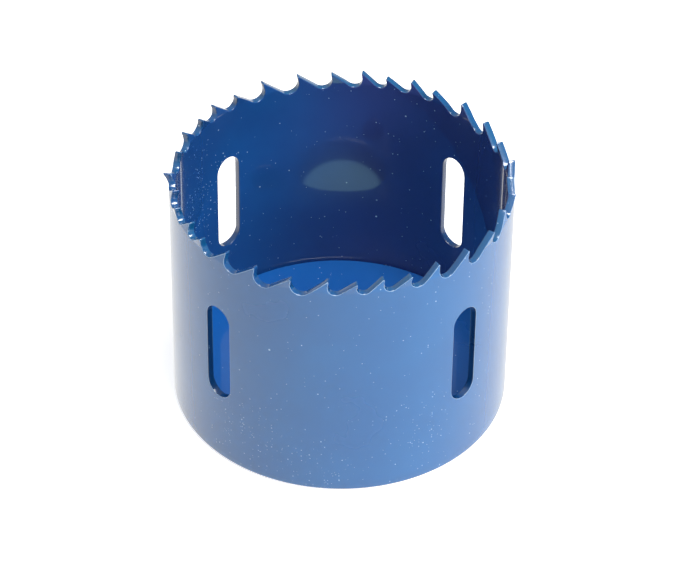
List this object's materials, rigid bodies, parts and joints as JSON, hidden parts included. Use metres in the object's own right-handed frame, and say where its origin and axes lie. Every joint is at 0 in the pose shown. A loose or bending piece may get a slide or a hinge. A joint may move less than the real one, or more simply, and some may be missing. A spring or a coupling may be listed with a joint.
{
  "type": "hole saw",
  "caption": "Cup-shaped hole saw with hooked set teeth around its open rim, long slots through the wall and a threaded base plate.",
  "frame": {"origin": "on the cup's axis, in the plane of its closed end, on which it stands", "axes": "+Z along the cup's axis from the closed end to the teeth; the four slots lie on +X, +Y, -X and -Y"},
  "size_m": [0.0575, 0.0573, 0.0445],
  "materials": {
    "enamelled_cup": "glossy blue enamel over tool steel, dusty",
    "enamelled_plate": "glossy blue enamel over mild steel, dusty"
  },
  "bodies": {
    "root": {"saw_cup": "enamelled_cup", "base_plate": "enamelled_plate"}
  },
  "joints": []
}
